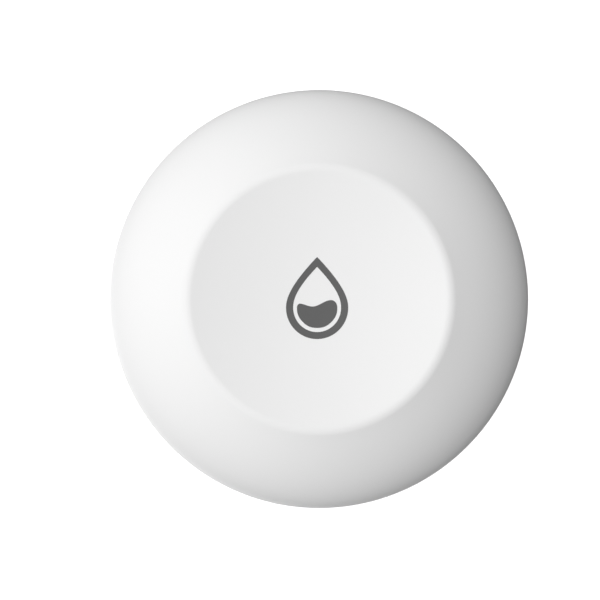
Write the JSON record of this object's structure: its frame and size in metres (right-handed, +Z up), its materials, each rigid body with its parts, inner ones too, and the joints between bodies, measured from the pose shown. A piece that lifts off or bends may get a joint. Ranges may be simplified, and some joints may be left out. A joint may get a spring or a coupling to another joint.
{
  "type": "water leak sensor",
  "caption": "Low round water leak sensor for a floor: dished press-top cover, probe screws underneath and a coin-slot battery cover.",
  "frame": {"origin": "centre of the underside at the level that the four feet stand on", "axes": "+Z up through the dished top, +Y towards the top of the drop sign, probes along X"},
  "size_m": [0.05, 0.05, 0.015],
  "materials": {
    "white_plastic": "fine satin moulding",
    "base_plastic": "fine satin moulding",
    "grey_rubber": "matt silicone",
    "black_rubber": "matt",
    "cell_steel": "nickel plated",
    "clear_nylon": "milky",
    "dark_paste": "dull",
    "black_plastic": "moulded",
    "spring_metal": "nickel plated strip",
    "board_laminate": "solder resist",
    "screw_steel": "zinc plated",
    "probe_steel": "bare stainless",
    "brass": "turned",
    "lamp_plastic": "clear",
    "clear_plastic": "polished clear rod",
    "chip_plastic": "moulded epoxy",
    "capacitor_plastic": "moulded",
    "chip_ceramic": "fired",
    "copper": "tinned copper"
  },
  "bodies": {
    "base": {"base_housing": "base_plastic", "cover_seal": "grey_rubber", "battery_holder": "black_plastic", "positive_contact_right": "spring_metal", "positive_contact_left": "spring_metal", "negative_contact": "spring_metal", "circuit_board": "board_laminate", "board_screws": "screw_steel", "probe_screw_right": "probe_steel", "probe_screw_left": "probe_steel", "probe_washer_right": "black_rubber", "probe_washer_left": "black_rubber", "probe_spacer_right": "brass", "probe_spacer_left": "brass", "switch_body": "black_plastic", "switch_plate": "spring_metal", "switch_dome": "spring_metal", "switch_terminals": "spring_metal", "status_led": "lamp_plastic", "light_guide": "clear_plastic", "radio_chip": "chip_plastic", "memory_chip": "chip_plastic", "crystal": "cell_steel", "storage_capacitor": "capacitor_plastic", "small_parts": "chip_ceramic", "board_aerial": "copper"},
    "cover": {"top_cover": "white_plastic"},
    "plunger": {"switch_plunger": "black_plastic"},
    "seal": {"battery_cover_seal": "black_rubber"},
    "battery_cover": {"battery_cover": "base_plastic"},
    "battery": {"battery_can": "cell_steel", "battery_cap": "cell_steel", "battery_grommet": "clear_nylon", "battery_pellet": "dark_paste"}
  },
  "joints": [
    {"name": "cover_press", "type": "slide", "parent": "base", "child": "cover", "axis": [0, 0, -1], "range_m": [0, 0.00025], "stiffness_N_per_m": 1200, "springref_m": -0.001, "deforming": ["switch_dome"]},
    {"name": "switch_press", "type": "slide", "parent": "base", "child": "plunger", "axis": [0, 0, -1], "range_m": [0, 0.00025]},
    {"name": "battery_cover_lift", "type": "slide", "parent": "base", "child": "seal", "axis": [0, 0, -1], "range_m": [0, 0.025]},
    {"name": "battery_cover_turn", "type": "hinge", "parent": "seal", "child": "battery_cover", "pos_m": [0, 0, 0.00274], "axis": [0, 0, -1], "range_deg": [-30, 0]},
    {"name": "battery_release", "type": "slide", "parent": "base", "child": "battery", "axis": [0, 0, -1], "range_m": [0, 0.0125]}
  ],
  "couplings": [
    {"joint": "switch_press", "follows": "cover_press", "ratio": 1},
    {"joint": "battery_release", "follows": "battery_cover_lift", "ratio": 0.5}
  ]
}
